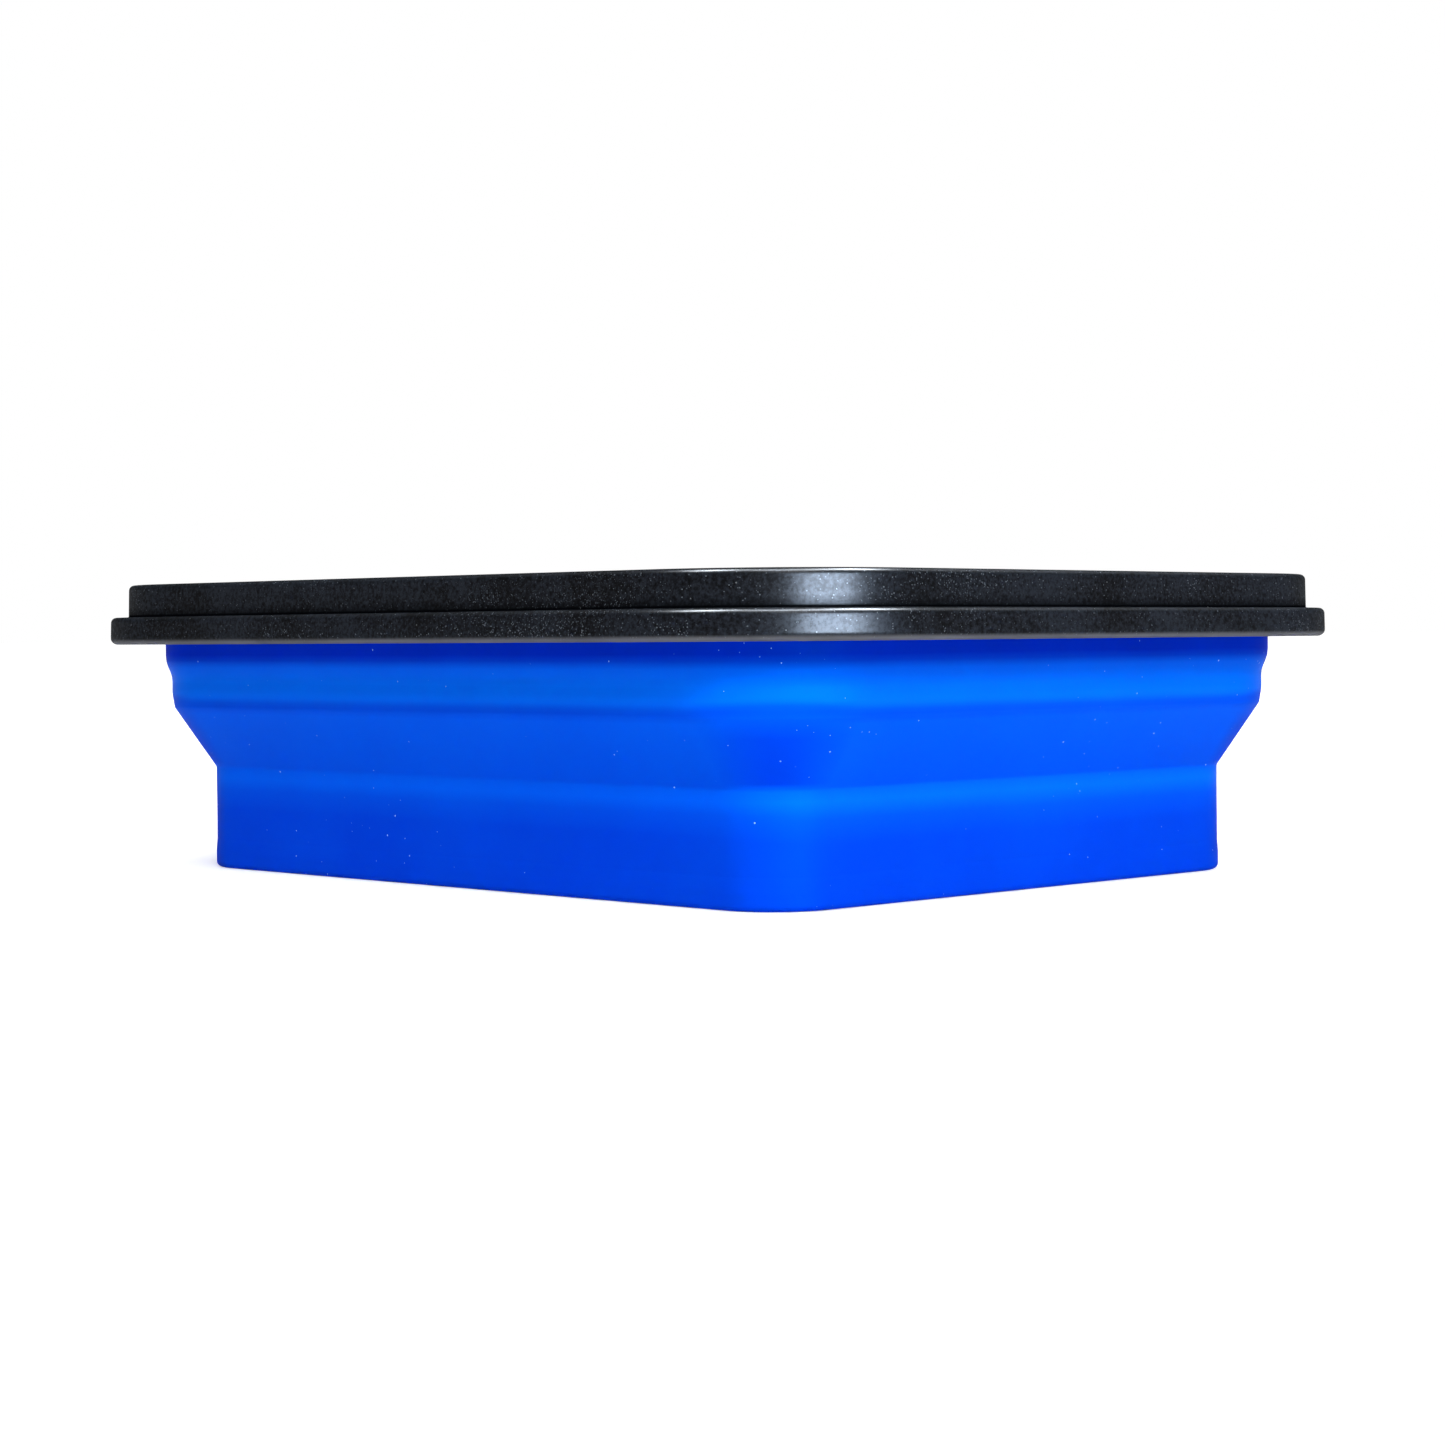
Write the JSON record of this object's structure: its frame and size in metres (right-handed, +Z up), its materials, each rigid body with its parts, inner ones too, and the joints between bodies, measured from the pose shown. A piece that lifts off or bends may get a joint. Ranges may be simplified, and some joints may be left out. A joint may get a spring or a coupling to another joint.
{
  "type": "collapsible food box",
  "caption": "Collapsible rectangular food box: blue silicone body with a fold-down wall, stiff black rim frame and black press-on lid with a seal and a vent flap.",
  "frame": {"origin": "centre of the footprint, on the surface the box stands on", "axes": "+Z up, +Y along the long sides, +X along the short sides"},
  "size_m": [0.18, 0.2164, 0.0596],
  "materials": {
    "body_silicone": "satin moulded silicone",
    "rim_plastic": "fine spark-eroded texture",
    "lid_plastic": "fine spark-eroded texture",
    "seal_silicone": "smooth natural silicone",
    "vent_silicone": "satin moulded silicone"
  },
  "bodies": {
    "tub": {"base_tub": "body_silicone", "fold_wall": "body_silicone"},
    "rim": {"collar": "body_silicone", "rim_frame": "rim_plastic"},
    "lid": {"lid_shell": "lid_plastic", "lid_seal": "seal_silicone", "vent_anchor": "vent_silicone"},
    "flap": {"vent_flap": "vent_silicone"}
  },
  "joints": [
    {"name": "collapse", "type": "slide", "parent": "tub", "child": "rim", "axis": [0, 0, -1], "range_m": [0, 0.025], "deforming": ["fold_wall"]},
    {"name": "lid_lift", "type": "slide", "parent": "rim", "child": "lid", "axis": [0, 0, 1], "range_m": [0, 0.06]},
    {"name": "vent_open", "type": "hinge", "parent": "lid", "child": "flap", "pos_m": [0, 0.041, 0.05455], "axis": [1, 0, 0], "range_deg": [0, 90]}
  ]
}
